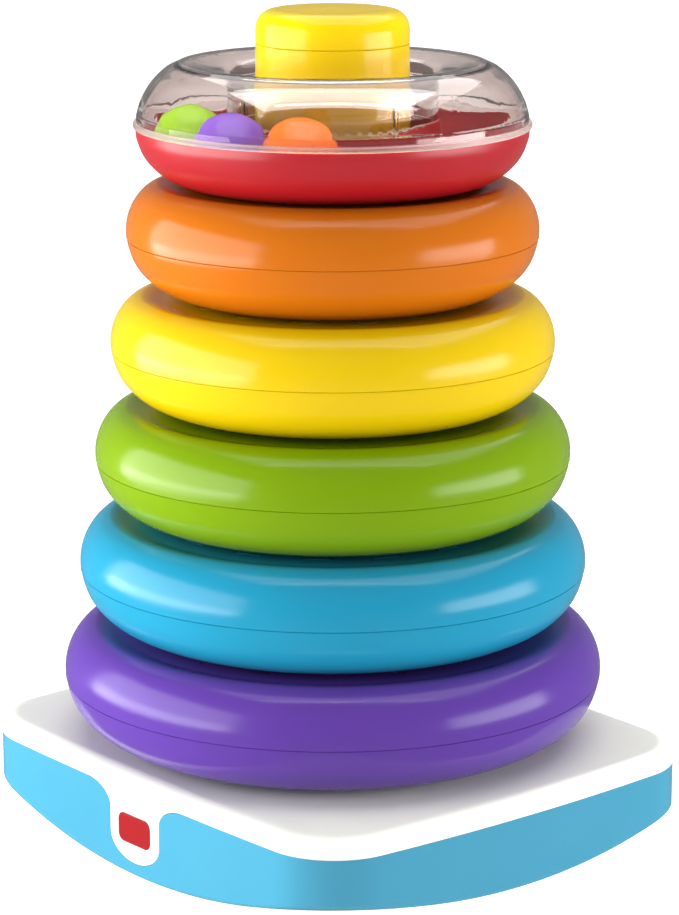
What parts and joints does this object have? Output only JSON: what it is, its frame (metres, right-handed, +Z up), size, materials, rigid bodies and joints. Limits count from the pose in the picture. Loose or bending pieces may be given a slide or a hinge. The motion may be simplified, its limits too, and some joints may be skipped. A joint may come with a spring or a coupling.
{
  "type": "stacking ring toy",
  "caption": "Tapered post on a rounded rocking base, with hollow rings of falling size stacked on it under a clear-topped ring that holds loose balls.",
  "frame": {"origin": "on the floor, under the middle of the post, at the centre of the base's underside", "axes": "+Z up along the post, +X along the base's longer side, the badge on the front facing -Y"},
  "size_m": [0.242, 0.225, 0.361],
  "materials": {
    "base_blue": "satin moulded plastic",
    "deck_white": "satin moulded plastic",
    "badge_red": "gloss plastic inlay",
    "post_yellow": "gloss moulded plastic",
    "ring_purple": "gloss moulded plastic",
    "ring_blue": "gloss moulded plastic",
    "ring_green": "gloss moulded plastic",
    "ring_yellow": "gloss moulded plastic",
    "ring_orange": "gloss moulded plastic",
    "tray_red": "gloss moulded plastic",
    "clear_plastic": "clear moulded plastic",
    "ball_green": "gloss moulded plastic",
    "ball_purple": "gloss moulded plastic",
    "ball_orange": "gloss moulded plastic",
    "screw_steel": "zinc-plated steel"
  },
  "bodies": {
    "base": {"base_bottom_shell": "base_blue", "base_top_plate": "deck_white", "badge": "badge_red", "base_screws": "screw_steel", "post_screws": "screw_steel", "post": "post_yellow", "post_cap": "post_yellow"},
    "purple_ring": {"purple_ring_upper": "ring_purple", "purple_ring_lower": "ring_purple"},
    "blue_ring": {"blue_ring_upper": "ring_blue", "blue_ring_lower": "ring_blue"},
    "green_ring": {"green_ring_upper": "ring_green", "green_ring_lower": "ring_green"},
    "yellow_ring": {"yellow_ring_upper": "ring_yellow", "yellow_ring_lower": "ring_yellow"},
    "orange_ring": {"orange_ring_upper": "ring_orange", "orange_ring_lower": "ring_orange"},
    "bead_ring": {"red_tray": "tray_red", "clear_dome": "clear_plastic"},
    "green_ball": {"green_ball": "ball_green"},
    "purple_ball": {"purple_ball": "ball_purple"},
    "orange_ball": {"orange_ball": "ball_orange"}
  },
  "joints": [
    {"name": "purple_ring_lift", "type": "slide", "parent": "base", "child": "purple_ring", "axis": [0, 0, 1], "range_m": [0, 0.305]},
    {"name": "blue_ring_lift", "type": "slide", "parent": "purple_ring", "child": "blue_ring", "axis": [0, 0, 1], "range_m": [0, 0.26]},
    {"name": "green_ring_lift", "type": "slide", "parent": "blue_ring", "child": "green_ring", "axis": [0, 0, 1], "range_m": [0, 0.215]},
    {"name": "yellow_ring_lift", "type": "slide", "parent": "green_ring", "child": "yellow_ring", "axis": [0, 0, 1], "range_m": [0, 0.17]},
    {"name": "orange_ring_lift", "type": "slide", "parent": "yellow_ring", "child": "orange_ring", "axis": [0, 0, 1], "range_m": [0, 0.125]},
    {"name": "bead_ring_lift", "type": "slide", "parent": "orange_ring", "child": "bead_ring", "axis": [0, 0, 1], "range_m": [0, 0.08]},
    {"name": "green_ball_roll", "type": "hinge", "parent": "bead_ring", "child": "green_ball", "pos_m": [0, 0, 0.3092], "axis": [0, 0, 1], "continuous": true},
    {"name": "purple_ball_roll", "type": "hinge", "parent": "green_ball", "child": "purple_ball", "pos_m": [0, 0, 0.3092], "axis": [0, 0, 1], "range_deg": [0, 120]},
    {"name": "orange_ball_roll", "type": "hinge", "parent": "purple_ball", "child": "orange_ball", "pos_m": [0, 0, 0.3092], "axis": [0, 0, 1], "range_deg": [0, 120]}
  ]
}
